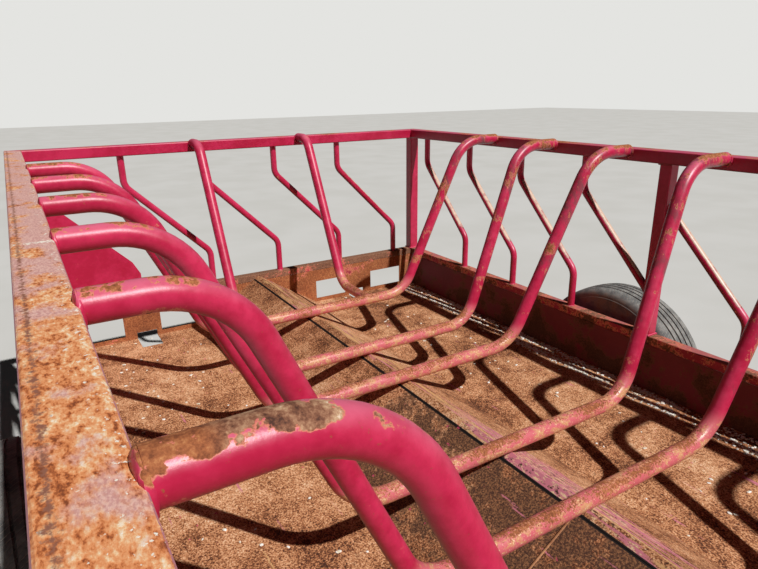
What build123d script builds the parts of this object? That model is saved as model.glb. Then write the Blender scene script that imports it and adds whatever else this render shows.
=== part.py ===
from build123d import *
import math
import os

os.makedirs("parts", exist_ok=True)

# Slant-bar hay feeder wagon: an open box of rectangular tube and sheet, hung low between two
# outboard rear wheels, with a swivelling two-wheel front and a hinged tongue that rests on the
# ground. Bent pipe cradles hold the bales off the floor, and a raised ridge sheds the hay to
# both feeding sides.
# Frame: +X forward to the hitch, +Y to the wagon's left, +Z up, ground at Z = 0. The origin is
# on the ground under the middle of the overall length, from the rear rail to the hitch's tip.

# Box and top rail
inner_width = 2134.0
box_length = 6096.0
rail_width = 70.0
rail_height = 51.0
rail_wall = 4.8
rail_top = 1480.0

# Sill tubes, on which the slant bars stand
sill_drop = 772.0
sill_width = 51.0
sill_height = 38.0
sill_wall = 3.2

# Sheets
sheet = 3.0
floor_drop = 1014.0
ridge_half_width = 361.0
ridge_seam_offset = 26.0
seam_gap = 1.5
cradle_seat_gap = 0.3

# Posts
corner_post_size = 57.0
side_post_size = 51.0
post_wall = 4.8

# Slant bars
bar_diameter = 33.4
bar_bend_radius = 75.0
bar_top_bend_drop = 202.0
bar_foot_bend_drop = 597.0
side_bar_first = 133.0
side_bar_pitch = 406.4
side_bar_run = 395.0
side_bar_count = 14
bar_count_to_side_post = 4
end_bar_first = 415.0
end_bar_pitch = 402.0
end_bar_run = 396.0
end_bar_count = 4

# Filler plate in the corner that the first end bar leaves open
filler_thickness = 5.0
filler_top_drop = 190.0
filler_bar_gap = 15.0

# Bale cradles
cradle_diameter = 48.3
cradle_first = 778.0
cradle_pitch = 404.0
cradle_rail_drop = 9.0
cradle_run_drop = 756.0
cradle_top_corner = 214.0
cradle_low_corner = 562.0
cradle_top_radius = 171.0
cradle_low_radius = 154.0
# One entry for each cradle, from the rear: its bent-over lean in degrees
cradle_leans = [-1.5, 6.5, -3.0, 7.0, -1.5, 4.0, 0.0, 0.0, 0.0, 0.0, 0.0, 0.0]
# and how much further out its right leg has been bent
cradle_right_spreads = [0.0, 0.0, 10.0, 16.0, 26.0, 14.0, 0.0, 0.0, 0.0, 0.0, 0.0, 0.0]

# End stays: the same pipe, from each end rail down to the nearest cradle
stay_spread = 297.0
stay_top_corner = 110.0
stay_top_radius = 90.0
stay_low_corner = 480.0
stay_low_radius = 120.0

# Cut-outs of the end plates. The windows are measured in from the box's inner width: near, far
end_windows = [(85.0, 309.0), (497.0, 700.0)]
window_top_drop = 882.0
window_height = 110.0
cleanout_near = 368.0
cleanout_far = 471.0
cleanout_rise = 33.0
cleanout_depth = 136.0
cut_over = 1.0

# Floor frame
cross_member_count = 11
cross_member_width = 70.0
frame_wall = 4.8

# Wheels
tyre_diameter = 810.0
tyre_width = 215.0
tread_width = 154.0
bead_width = 146.0
tread_crown = 5.0
shoulder_drop = 42.0
shoulder_inset = 9.0
shoulder_round = 14.0
rim_seat_diameter = 406.0
rim_flange_height = 17.0
rim_wall = 5.0
rim_well_depth = 18.0
rim_well_half_top = 42.0
rim_well_half_base = 30.0
rim_flange_gap = 3.0
disc_thickness = 7.0
tyre_seat_gap = 0.3
wheel_bolt_circle = 152.4
wheel_bolt_count = 6
wheel_bolt_hole = 17.0
hand_hole_diameter = 38.0
hand_hole_circle = 260.0
hub_barrel_radius = 48.0
hub_flange_radius = 95.0
hub_nose_radius = 45.0
hub_cap_radius = 36.0
hub_nose_length = 26.0
hub_cap_length = 22.0
hub_end_gap = 4.0
hub_inboard_reach = 105.0
hub_flange_thickness = 12.0
spindle_diameter = 50.0
spindle_clearance = 0.5
spindle_reach = 52.0

# Rear axle
rear_axle_station = 1572.0
rear_tyre_gap = 31.5
axle_size = 89.0
axle_wall = 6.4
axle_plate_thickness = 14.0
axle_plate_gap = 5.0

# Front swivel
kingpin_ahead = 640.0
front_wheel_offset = 235.0
swivel_post_size = 100.0
swivel_axle_size = 76.0
swivel_top = 831.5
swivel_flange_radius = 78.0
swivel_flange_thickness = 14.0
kingpin_diameter = 60.0
kingpin_clearance = 0.5
kingpin_cap_radius = 46.0
kingpin_cap_height = 18.0
housing_gap = 0.5
housing_height = 180.0
housing_radius = 57.0
frame_arm_height = 76.0
frame_arm_width = 51.0
frame_arm_base = 850.0
frame_arm_spread = 900.0
crossbar_depth = 51.0
gusset_thickness = 10.0
gusset_length = 230.0

# Tongue and hitch
tongue_pivot_reach = 120.0
tongue_pivot_height = 330.0
tongue_size = 76.0
tongue_wall = 6.4
tongue_length = 1640.0
tongue_ear_gap = 2.0
tongue_ear_thickness = 12.0
tongue_ear_radius = 38.0
tongue_pin_diameter = 25.0
tongue_pin_clearance = 0.5
clevis_length = 110.0
clevis_width = 90.0
clevis_gap = 38.0
clevis_thickness = 13.0
clevis_pin_hole = 27.0

# Worked-out places
half_inner = inner_width / 2
half_outer = half_inner + rail_width
rail_mid = half_inner + rail_width / 2
rail_base = rail_top - rail_height
sill_top = rail_top - sill_drop
sill_base = sill_top - sill_height
sill_inner = rail_mid - sill_width / 2
sill_outer = rail_mid + sill_width / 2
floor_top = rail_top - floor_drop
floor_base = floor_top - sheet
frame_base = floor_base - rail_height
bottom_rail_inner = sill_outer - rail_width
wheel_radius = tyre_diameter / 2
rear_wheel_offset = half_outer + rear_tyre_gap + tyre_width / 2
cleanout_span = (half_inner - cleanout_far, half_inner - cleanout_near)
kingpin_station = box_length + kingpin_ahead

# The tongue's tilt at rest puts the lower tip of its clevis on the ground
clevis_low = clevis_gap / 2 + clevis_thickness
tongue_reach = tongue_length + clevis_length
tongue_tilt = math.asin(tongue_pivot_height / math.hypot(tongue_reach, clevis_low))
tongue_tilt -= math.atan2(clevis_low, tongue_reach)
tongue_tip = tongue_reach * math.cos(tongue_tilt) + clevis_low * math.sin(tongue_tilt)
overall_length = kingpin_station + tongue_pivot_reach + tongue_tip


def at(station):
    """X of a place that lies the given distance forward of the rear rail's outer face."""
    return station - overall_length / 2


rear_face = at(0)
front_face = at(box_length)
rear_inner = at(rail_width)
front_inner = at(box_length - rail_width)
floor_rear = rear_face + (rail_width + sill_width) / 2
floor_front = front_face - (rail_width + sill_width) / 2
kingpin_x = at(kingpin_station)
rear_axle_x = at(rear_axle_station)


def block(low, high):
    """Box between two corners."""
    size = [b - a for a, b in zip(low, high)]
    return Pos(*[(a + b) / 2 for a, b in zip(low, high)]) * Box(*size)


def tube_block(low, high, wall, run):
    """Rectangular tube between two corners, open at both ends along the axis index run."""
    inside_low = [a if i == run else a + wall for i, a in enumerate(low)]
    inside_high = [b if i == run else b - wall for i, b in enumerate(high)]
    return block(low, high) - block(inside_low, inside_high)


def prism(points, low_z, height):
    """Upright prism on a closed outline of (x, y) points."""
    return Pos(0, 0, low_z) * extrude(make_face(Polyline(*points, close=True)), height)


def turned(radius, start, end, x=0.0, y=0.0, z=0.0):
    """Cylinder along +Y from start to end."""
    middle = (start + end) / 2
    return Pos(x, y + middle, z) * Rot(90, 0, 0) * Cylinder(radius, abs(end - start))


def pipe(points, radii, diameter):
    """Round bar along straight runs joined by bends."""
    line = FilletPolyline(*points, radius=radii) if radii else Polyline(*points)
    start = line @ 0
    tangent = line % 0
    side = Vector(0, 1, 0).cross(tangent)
    if side.length < 0.1:
        side = Vector(1, 0, 0).cross(tangent)
    section = Plane(origin=start, x_dir=side, z_dir=tangent) * Circle(diameter / 2)
    return sweep(section, path=line)


def group(solids):
    """Separate solids that share one node."""
    return Compound(children=list(solids))


def save(name, shape):
    export_step(shape, f"parts/{name}.step")


def mitred_rail(along_x, sign):
    """One side of the top rail, mitred at both corners, with a tube's walls."""
    def outline(inset):
        edge = half_outer - inset
        inner = half_inner + inset
        out_a, out_b = rear_face + inset, front_face - inset
        in_a, in_b = rear_inner - inset, front_inner + inset
        if along_x:
            return [(out_a, sign * edge), (out_b, sign * edge), (in_b, sign * inner), (in_a, sign * inner)]
        out_x, in_x = (out_b, in_b) if sign > 0 else (out_a, in_a)
        return [(out_x, -edge), (out_x, edge), (in_x, inner), (in_x, -inner)]
    outer = prism(outline(0.0), rail_base, rail_height)
    return outer - prism(outline(rail_wall), rail_base + rail_wall, rail_height - 2 * rail_wall)


def post(x, y, size, low, high):
    """Square tube post, open at both ends against what it stands between."""
    half = size / 2
    return tube_block((x - half, y - half, low), (x + half, y + half, high), post_wall, 2)


def corner_places():
    offset = rail_width / 2
    return [(x, y) for x in (rear_face + offset, front_face - offset) for y in (-rail_mid, rail_mid)]


def side_post_xs():
    """The rear pair stands at a bar's top, the front pair as far from the front end."""
    reach = side_bar_first + bar_count_to_side_post * side_bar_pitch
    return [rear_inner + reach, front_inner - reach]


def slant_bar(top, foot, place):
    """S-bent bar from the rail down to the sill; place turns (along, z) into a point."""
    points = [
        place(top, rail_base),
        place(top, rail_top - bar_top_bend_drop),
        place(foot, rail_top - bar_foot_bend_drop),
        place(foot, sill_top),
    ]
    return pipe(points, bar_bend_radius, bar_diameter)


def side_bars(sign):
    def place(along, z):
        return (along, sign * rail_mid, z)
    posts = [post_solid(x, sign * rail_mid) for x in side_post_xs()]
    bars = []
    for k in range(side_bar_count):
        top = rear_inner + side_bar_first + k * side_bar_pitch
        bar = slant_bar(top, top + side_bar_run, place)
        for x, solid in zip(side_post_xs(), posts):
            if top - side_post_size < x < top + side_bar_run + side_post_size:
                bar = largest(bar - solid)
        bars.append(bar)
    return group(bars)


def post_solid(x, y):
    half = side_post_size / 2
    return block((x - half, y - half, sill_top), (x + half, y + half, rail_base))


def largest(shape):
    return max(shape.solids(), key=lambda solid: solid.volume)


def end_bars(sign):
    """Bars of one end frame. The front frame is the rear one turned round."""
    x = rear_face + rail_width / 2 if sign < 0 else front_face - rail_width / 2

    def place(along, z):
        return (x, -sign * along, z)
    bars = []
    for k in range(end_bar_count):
        top = -half_inner + end_bar_first + k * end_bar_pitch
        bars.append(slant_bar(top, top + end_bar_run, place))
    return group(bars)


def filler_plate(sign):
    """Plate from the corner post along the line of the bar that isn't there."""
    x = rear_face + rail_width / 2 if sign < 0 else front_face - rail_width / 2
    post_face = rail_mid - corner_post_size / 2
    slope_start = end_bar_first - filler_bar_gap
    points = [
        (-post_face, sill_top),
        (-post_face, rail_top - filler_top_drop),
        (-half_inner + slope_start - end_bar_run, rail_top - filler_top_drop),
        (-half_inner + slope_start, rail_top - bar_foot_bend_drop),
        (-half_inner + slope_start + bar_diameter, rail_top - bar_foot_bend_drop - 2 * bar_diameter),
        (-half_inner + slope_start + bar_diameter, sill_top),
    ]
    outline = [(-sign * y, z) for y, z in points if y >= -post_face or z == sill_top]
    face = make_face(Polyline(*[(y, z) for y, z in outline], close=True))
    upright = Plane(origin=(x - filler_thickness / 2, 0, 0), x_dir=(0, 1, 0), z_dir=(1, 0, 0))
    return extrude(upright * face, filler_thickness)


def cradle(k):
    """U-bent pipe from side rail to side rail, turned about its two ends by its lean."""
    lean = math.radians(cradle_leans[k])
    depth = (cradle_run_drop - cradle_rail_drop) / math.cos(lean)
    top, low = half_inner - cradle_top_corner, half_inner - cradle_low_corner
    spread = cradle_right_spreads[k]
    points = [
        (0, -half_inner, 0), (0, -top - spread, 0), (0, -low - spread, -depth),
        (0, low, -depth), (0, top, 0), (0, half_inner, 0),
    ]
    radii = [cradle_top_radius, cradle_low_radius, cradle_low_radius, cradle_top_radius]
    loop = pipe(points, radii, cradle_diameter)
    place = Pos(rear_inner + cradle_first + k * cradle_pitch, 0, rail_top - cradle_rail_drop)
    return place * Rot(0, -cradle_leans[k], 0) * loop


def end_stays(sign):
    """Two stays from an end rail to the bottom run of the nearest cradle."""
    k = 0 if sign < 0 else len(cradle_leans) - 1
    gap = cradle_first if sign < 0 else inner_gap_front()
    start = rear_inner if sign < 0 else front_inner
    lean_shift = (cradle_run_drop - cradle_rail_drop) * math.tan(math.radians(cradle_leans[k]))
    reach = gap + (lean_shift if sign < 0 else -lean_shift)
    top_z, low_z = rail_top - cradle_rail_drop, rail_top - cradle_run_drop
    stays = []
    for y in (-stay_spread, stay_spread):
        points = [
            (start, y, top_z),
            (start - sign * stay_top_corner, y, top_z),
            (start - sign * stay_low_corner, y, low_z),
            (start - sign * reach, y, low_z),
        ]
        stay = pipe(points, [stay_top_radius, stay_low_radius], cradle_diameter)
        run = turned(cradle_diameter / 2 + cradle_seat_gap, -half_inner, half_inner, start - sign * reach, 0, low_z)
        stays.append(largest(stay - run))
    return group(stays)


def inner_gap_front():
    last = cradle_first + (len(cradle_leans) - 1) * cradle_pitch
    return front_inner - rear_inner - last


def side_panel(sign):
    low, high = sorted((sign * sill_inner, sign * (sill_inner + sheet)))
    return block((floor_rear, low, floor_base), (floor_front, high, sill_base))


def end_plate(sign):
    """Sheet across the end under its sill, with feeding windows and clean-out notches."""
    x_low, x_high = (floor_rear - sheet, floor_rear) if sign < 0 else (floor_front, floor_front + sheet)
    plate = block((x_low, -sill_inner - sheet, floor_base), (x_high, sill_inner + sheet, sill_base))
    window_top = rail_top - window_top_drop
    for near, far in end_windows:
        for side in (-1, 1):
            low, high = sorted((side * (half_inner - near), side * (half_inner - far)))
            plate -= block((x_low - cut_over, low, window_top - window_height),
                           (x_high + cut_over, high, window_top))
    for side in (-1, 1):
        low, high = sorted(side * edge for edge in cleanout_span)
        plate -= block((x_low - cut_over, low, floor_base - cut_over),
                       (x_high + cut_over, high, floor_top + cleanout_rise))
    return plate


def floor_outline(side):
    """Section of one floor sheet as (y, z): the left sheet laps over the ridge to the seam."""
    rise = crest_top() - floor_top
    slope = rise / ridge_half_width
    drop = sheet * math.hypot(1, slope)
    seam_y = -ridge_seam_offset
    seam_z = crest_top() - ridge_seam_offset * slope
    if side > 0:
        top = [(sill_inner, floor_top), (ridge_half_width, floor_top), (0, crest_top()), (seam_y, seam_z)]
    else:
        seam_y -= seam_gap
        seam_z -= seam_gap * slope
        top = [(-sill_inner, floor_top), (-ridge_half_width, floor_top), (seam_y, seam_z)]
    base = [(y, z - (sheet if abs(y) >= ridge_half_width else drop)) for y, z in top]
    return top + base[::-1]


def crest_top():
    return rail_top - cradle_run_drop - cradle_diameter / 2 - cradle_seat_gap


def floor_sheet(side):
    across = Plane(origin=(floor_rear, 0, 0), x_dir=(0, 1, 0), z_dir=(1, 0, 0))
    face = make_face(Polyline(*floor_outline(side), close=True))
    floor = extrude(across * face, floor_front - floor_rear)
    low, high = sorted(side * edge for edge in cleanout_span)
    for start, end in ((floor_rear - cut_over, floor_rear + cleanout_depth),
                       (floor_front - cleanout_depth, floor_front + cut_over)):
        floor -= block((start, low, floor_base - cut_over), (end, high, floor_top + cut_over))
    return floor


def bottom_rail(sign):
    low, high = sorted((sign * bottom_rail_inner, sign * sill_outer))
    return tube_block((rear_face, low, frame_base), (front_face, high, floor_base), frame_wall, 0)


def cross_members():
    """Tubes under the floor between the bottom rails, the outermost just inboard of the clean-outs."""
    first = floor_rear + cleanout_depth + cross_member_width / 2
    last = floor_front - cleanout_depth - cross_member_width / 2
    members = []
    for k in range(cross_member_count):
        x = first + (last - first) * k / (cross_member_count - 1)
        half = cross_member_width / 2
        low = (x - half, -bottom_rail_inner, frame_base)
        high = (x + half, bottom_rail_inner, floor_base)
        members.append(tube_block(low, high, frame_wall, 1))
    return group(members)


def lower_posts():
    """Short uprights outside the side panels, in line with the posts above the sill."""
    outer = sill_inner + sheet
    posts = []
    half = side_post_size / 2
    for sign in (-1, 1):
        for x in [rear_face + rail_width / 2, *side_post_xs(), front_face - rail_width / 2]:
            low, high = sorted((sign * outer, sign * sill_outer))
            posts.append(block((x - half, low, floor_base), (x + half, high, sill_base)))
    return group(posts)


def spin(outline, x, y, z, side):
    """Ring turned about a wheel's axle from (outboard, radius) points."""
    face = make_face(Polyline(*[(side * v, r) for v, r in outline], close=True))
    axle = Plane(origin=(0, 0, 0), x_dir=(0, 1, 0), z_dir=(1, 0, 0))
    return Pos(x, y, z) * revolve(axle * face, Axis.Y)


def tyre(x, y, z, side):
    """Solid ring with round shoulders and bulged sidewalls on the rim's bead seats."""
    seat = rim_seat_diameter / 2 + tyre_seat_gap
    half_bead, half_tread, half_width = bead_width / 2, tread_width / 2, tyre_width / 2
    crown_edge = wheel_radius - tread_crown
    shoulder_v, shoulder_r = half_width - shoulder_inset, wheel_radius - shoulder_drop
    round_v, round_r = (half_tread + shoulder_v) / 2, (crown_edge + shoulder_r) / 2
    bead_v, bead_r = half_bead + rim_flange_gap / 2, seat + rim_flange_height + rim_flange_gap
    bulge_r = (seat + wheel_radius) / 2
    parts = [
        ThreePointArc((-half_tread, crown_edge), (0, wheel_radius), (half_tread, crown_edge)),
        Line((-half_bead, seat), (half_bead, seat)),
    ]
    for turn in (-1, 1):
        edge, shoulder = (turn * half_tread, crown_edge), (turn * shoulder_v, shoulder_r)
        bead = (turn * bead_v, bead_r)
        between = (turn * (round_v + shoulder_round / 3), round_r + shoulder_round / 2)
        parts.append(ThreePointArc(edge, between, shoulder))
        parts.append(ThreePointArc(shoulder, (turn * half_width, bulge_r), bead))
        parts.append(Line(bead, (turn * half_bead, seat)))
    face = make_face(Wire(parts))
    axle = Plane(origin=(0, 0, 0), x_dir=(0, 1, 0), z_dir=(1, 0, 0))
    return Pos(x, y, z) * revolve(axle * face, Axis.Y)


def rim(x, y, z, side):
    """Drop-centre rim with its disc, bolt holes and hand holes."""
    seat = rim_seat_diameter / 2
    flange = seat + rim_flange_height
    half_bead = bead_width / 2
    well = seat - rim_well_depth
    flange_face = half_bead + rim_flange_gap
    edge = flange_face + rim_wall
    well_top, well_base = rim_well_half_top, rim_well_half_base
    top = [(edge, flange), (flange_face, flange), (flange_face, seat), (well_top, seat), (well_base, well)]
    low = [
        (edge, seat - rim_wall),
        (well_top + rim_wall / 2, seat - rim_wall),
        (well_base + rim_wall / 2, well - rim_wall),
    ]
    outline = [(-v, r) for v, r in top] + [(v, r) for v, r in reversed(top)]
    outline += low + [(-v, r) for v, r in reversed(low)]
    barrel = spin(outline, x, y, z, side)
    face_v = hub_flange_thickness
    disc_edge = well - rim_wall
    disc = spin([(face_v, hub_nose_radius + 1), (face_v, disc_edge + 1), (face_v + disc_thickness, disc_edge + 1),
                 (face_v + disc_thickness, hub_nose_radius + 1)], x, y, z, side)
    wheel = barrel + disc
    middle = y + side * (face_v + disc_thickness / 2)
    for count, circle, diameter in (
        (wheel_bolt_count, wheel_bolt_circle, wheel_bolt_hole),
        (wheel_bolt_count, hand_hole_circle, hand_hole_diameter),
    ):
        for k in range(count):
            angle = math.radians(360 / count * (k + (0.5 if diameter == hand_hole_diameter else 0)))
            hole_x = x + circle / 2 * math.cos(angle)
            hole_z = z + circle / 2 * math.sin(angle)
            wheel -= turned(diameter / 2, middle - 2 * disc_thickness, middle + 2 * disc_thickness, hole_x, 0, hole_z)
    return wheel


def hub(x, y, z, side):
    """Bearing hub with its flange and closed cap, running on the spindle."""
    bore = spindle_diameter / 2 + spindle_clearance
    nose_end = hub_flange_thickness + disc_thickness + hub_nose_length
    cap_end = nose_end + hub_cap_length
    outline = [
        (-hub_inboard_reach, bore), (-hub_inboard_reach, hub_barrel_radius), (0, hub_barrel_radius),
        (0, hub_flange_radius), (hub_flange_thickness, hub_flange_radius),
        (hub_flange_thickness, hub_nose_radius), (nose_end, hub_nose_radius),
        (nose_end, hub_cap_radius), (cap_end, hub_cap_radius), (cap_end, 0), (spindle_reach + hub_end_gap, 0),
        (spindle_reach + hub_end_gap, bore),
    ]
    return spin(outline, x, y, z, side)


def rear_axle():
    """Beam under the bottom rails, with raised end plates that carry the spindles."""
    half = axle_size / 2
    plate_inner = sill_outer + axle_plate_gap
    plate_outer = plate_inner + axle_plate_thickness
    beam_low = frame_base - axle_size
    beam = tube_block((rear_axle_x - half, -plate_inner, beam_low), (rear_axle_x + half, plate_inner, frame_base),
                      axle_wall, 1)
    spindle = spindle_diameter / 2
    for sign in (-1, 1):
        low, high = sorted((sign * plate_inner, sign * plate_outer))
        beam += block((rear_axle_x - half, low, beam_low), (rear_axle_x + half, high, wheel_radius + half))
        start, end = sorted((sign * plate_outer, sign * (rear_wheel_offset + spindle_reach)))
        beam += turned(spindle, start, end, rear_axle_x, 0, wheel_radius)
    return beam


def housing_base():
    return swivel_top + housing_gap


def front_frame():
    """V of two arms from the crossbar to the kingpin housing, with gussets at the point."""
    bar_front = front_face - rail_width / 2 + corner_post_size / 2 + crossbar_depth
    reach = kingpin_x - bar_front
    half_cut = frame_arm_width / 2 * math.hypot(reach, frame_arm_spread) / reach
    base = max(frame_arm_base, housing_base())
    arms = None
    for sign in (-1, 1):
        foot_in, foot_out = sign * (frame_arm_spread - half_cut), sign * (frame_arm_spread + half_cut)
        tip = (kingpin_x, -sign * half_cut), (kingpin_x, sign * half_cut)
        arm = prism([(bar_front, foot_in), (bar_front, foot_out), tip[1], tip[0]], base, frame_arm_height)
        arms = arm if arms is None else arms + arm
    gusset_y = gusset_length * frame_arm_spread / reach
    for z in (base - gusset_thickness, base + frame_arm_height):
        points = [(kingpin_x, -housing_radius), (kingpin_x, housing_radius),
                  (kingpin_x - gusset_length, gusset_y), (kingpin_x - gusset_length, -gusset_y)]
        arms += prism(points, z, gusset_thickness)
    housing = Pos(kingpin_x, 0, housing_base() + housing_height / 2) * Cylinder(housing_radius, housing_height)
    bore_radius = kingpin_diameter / 2 + kingpin_clearance
    bore = Pos(kingpin_x, 0, housing_base() + housing_height / 2) * Cylinder(bore_radius, 2 * housing_height)
    return arms + housing - bore


def front_crossbar():
    """Tube across the front end's corner posts."""
    x = front_face - rail_width / 2 + corner_post_size / 2
    return tube_block((x, -sill_outer, frame_arm_base), (x + crossbar_depth, sill_outer, frame_arm_base +
                      frame_arm_height), frame_wall, 1)


def front_swivel():
    """Post between the front wheels with its axle, tongue ears, flange and kingpin."""
    half = swivel_post_size / 2
    axle_half = swivel_axle_size / 2
    flange_base = swivel_top - swivel_flange_thickness
    ear_bottom = tongue_pivot_height - tongue_ear_radius
    body = block((kingpin_x - half, -half, ear_bottom), (kingpin_x + half, half, flange_base))
    beam_end = front_wheel_offset - hub_inboard_reach - axle_plate_gap
    body += block((kingpin_x - axle_half, -beam_end, wheel_radius - axle_half),
                  (kingpin_x + axle_half, beam_end, wheel_radius + axle_half))
    reach = front_wheel_offset + spindle_reach
    body += turned(spindle_diameter / 2, -reach, reach, kingpin_x, 0, wheel_radius)
    body += Pos(kingpin_x, 0, swivel_top - swivel_flange_thickness / 2) * Cylinder(
        swivel_flange_radius, swivel_flange_thickness)
    pin_top = housing_base() + housing_height + housing_gap
    body += Pos(kingpin_x, 0, (flange_base + pin_top) / 2) * Cylinder(kingpin_diameter / 2, pin_top - flange_base)
    pivot_x = kingpin_x + tongue_pivot_reach
    ear_inner = tongue_size / 2 + tongue_ear_gap
    for sign in (-1, 1):
        low, high = sorted((sign * ear_inner, sign * (ear_inner + tongue_ear_thickness)))
        ear = block((kingpin_x, low, ear_bottom), (pivot_x, high, tongue_pivot_height + tongue_ear_radius))
        ear += turned(tongue_ear_radius, low, high, pivot_x, 0, tongue_pivot_height)
        body += ear
    pin_end = ear_inner + tongue_ear_thickness
    body += turned(tongue_pin_diameter / 2, -pin_end, pin_end, pivot_x, 0, tongue_pivot_height)
    return body


def kingpin_cap():
    """Retaining cap on the kingpin above the housing."""
    base = housing_base() + housing_height + housing_gap
    return Pos(kingpin_x, 0, base + kingpin_cap_height / 2) * Cylinder(kingpin_cap_radius, kingpin_cap_height)


def on_tongue(shape):
    """Place a shape drawn along +X from the tongue's pivot."""
    place = Pos(kingpin_x + tongue_pivot_reach, 0, tongue_pivot_height)
    return place * Rot(0, math.degrees(tongue_tilt), 0) * shape


def tongue():
    """Tube with a round sleeve at its pivot."""
    half = tongue_size / 2
    sleeve = turned(tongue_ear_radius, -half, half)
    beam = tube_block((tongue_ear_radius, -half, -half), (tongue_length, half, half), tongue_wall, 0)
    body = beam + block((0, -half, -half), (tongue_ear_radius + tongue_wall, half, half)) + sleeve
    return on_tongue(body - turned(tongue_pin_diameter / 2 + tongue_pin_clearance, -half - 1, half + 1))


def hitch_clevis():
    """End plate with two lips and their pin hole."""
    half = clevis_width / 2
    back = block((tongue_length, -half, -clevis_low), (tongue_length + clevis_thickness, half, clevis_low))
    start, end = tongue_length, tongue_reach
    for low, high in ((-clevis_low, -clevis_gap / 2), (clevis_gap / 2, clevis_low)):
        back += block((start, -half, low), (end, half, high))
    hole = Pos(end - clevis_width / 2, 0, 0) * Cylinder(clevis_pin_hole / 2, 4 * clevis_low)
    return on_tongue(back - hole)


for name, along_x, sign in (
    ("top_rail_left", True, 1), ("top_rail_right", True, -1),
    ("top_rail_rear", False, -1), ("top_rail_front", False, 1),
):
    save(name, mitred_rail(along_x, sign))

save("corner_posts", group(post(x, y, corner_post_size, sill_top, rail_base) for x, y in corner_places()))
save("side_posts", group(
    post(x, y, side_post_size, sill_top, rail_base) for x in side_post_xs() for y in (-rail_mid, rail_mid)))

for name, sign in (("left", 1), ("right", -1)):
    low, high = sorted((sign * sill_inner, sign * sill_outer))
    save(f"sill_{name}", tube_block((rear_face, low, sill_base), (front_face, high, sill_top), sill_wall, 0))
    save(f"slant_bars_{name}", side_bars(sign))
    save(f"side_panel_{name}", side_panel(sign))
    save(f"floor_{name}", floor_sheet(sign))
    save(f"bottom_rail_{name}", bottom_rail(sign))

for name, sign in (("rear", -1), ("front", 1)):
    middle = rear_face + rail_width / 2 if sign < 0 else front_face - rail_width / 2
    low_x, high_x = middle - sill_width / 2, middle + sill_width / 2
    save(f"sill_{name}", tube_block((low_x, -sill_inner, sill_base), (high_x, sill_inner, sill_top), sill_wall, 1))
    save(f"slant_bars_{name}", end_bars(sign))
    save(f"filler_plate_{name}", filler_plate(sign))
    save(f"end_plate_{name}", end_plate(sign))
    save(f"end_stays_{name}", end_stays(sign))

save("bale_cradles", group(cradle(k) for k in range(len(cradle_leans))))
save("cross_members", cross_members())
save("lower_posts", lower_posts())
save("rear_axle", rear_axle())
save("front_frame", front_frame())
save("front_crossbar", front_crossbar())
save("front_swivel", front_swivel())
save("kingpin_cap", kingpin_cap())
save("tongue", tongue())
save("hitch_clevis", hitch_clevis())

for place, x, offset in (("rear", rear_axle_x, rear_wheel_offset), ("front", kingpin_x, front_wheel_offset)):
    for name, sign in (("left", 1), ("right", -1)):
        save(f"tyre_{place}_{name}", tyre(x, sign * offset, wheel_radius, sign))
        save(f"rim_{place}_{name}", rim(x, sign * offset, wheel_radius, sign))
        save(f"hub_{place}_{name}", hub(x, sign * offset, wheel_radius, sign))
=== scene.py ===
import bmesh
import bpy
import math
import random
from mathutils import Matrix, Vector


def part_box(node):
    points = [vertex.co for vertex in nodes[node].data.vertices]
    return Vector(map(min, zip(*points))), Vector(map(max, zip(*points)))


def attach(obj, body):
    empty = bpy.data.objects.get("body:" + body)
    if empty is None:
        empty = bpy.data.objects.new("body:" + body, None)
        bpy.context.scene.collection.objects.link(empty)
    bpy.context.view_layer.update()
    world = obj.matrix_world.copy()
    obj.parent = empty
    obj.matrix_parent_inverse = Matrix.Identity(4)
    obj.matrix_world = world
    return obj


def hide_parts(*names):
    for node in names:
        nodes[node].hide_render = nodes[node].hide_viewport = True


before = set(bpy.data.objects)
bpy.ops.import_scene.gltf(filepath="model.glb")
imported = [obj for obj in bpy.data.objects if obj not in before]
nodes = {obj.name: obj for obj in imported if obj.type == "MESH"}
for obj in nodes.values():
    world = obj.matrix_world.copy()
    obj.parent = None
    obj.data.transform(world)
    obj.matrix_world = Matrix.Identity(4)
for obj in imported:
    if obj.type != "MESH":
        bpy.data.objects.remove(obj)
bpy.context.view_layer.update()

# Places that the wagon's own pieces give, in metres
RAIL_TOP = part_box("top_rail_left")[1].z
RAIL_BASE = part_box("top_rail_left")[0].z
REAR_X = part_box("top_rail_rear")[0].x
REAR_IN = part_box("top_rail_rear")[1].x
FRONT_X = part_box("top_rail_front")[1].x
FRONT_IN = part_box("top_rail_front")[0].x
RAIL_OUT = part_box("top_rail_left")[1].y
RAIL_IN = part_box("bale_cradles")[1].y
RAIL_MID = (RAIL_OUT + RAIL_IN) / 2
SILL_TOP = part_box("sill_left")[1].z
PANEL_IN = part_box("side_panel_left")[0].y
FLOOR_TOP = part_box("side_panel_left")[0].z + 0.003

# The wagon's pattern, in metres, as the solids have it
BAR_FIRST, BAR_PITCH, BAR_RUN, BAR_COUNT, BAR_RADIUS = 0.133, 0.4064, 0.395, 14, 0.0167
END_BAR_FIRST, END_BAR_PITCH, END_BAR_RUN, END_BAR_COUNT = 0.415, 0.402, 0.396, 4
CRADLE_FIRST, CRADLE_PITCH, CRADLE_COUNT, CRADLE_RADIUS = 0.778, 0.404, 12, 0.02415
CRADLE_DROP = 0.009
STAY_SPREAD = 0.297
SIDE_POST_IN = 1.7586
POST_HALF, CORNER_HALF = 0.0255, 0.0285
RIDGE_HALF, RIDGE_TOP, SEAM_Y = 0.361, 0.69955, -0.0268
BOLT_CIRCLE, BOLT_COUNT, DISC_FACE, VALVE_CIRCLE = 0.1524, 6, 0.019, 0.262
WHEEL_RADIUS, TREAD_HALF, SEAT_RADIUS = 0.405, 0.077, 0.2033

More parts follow.
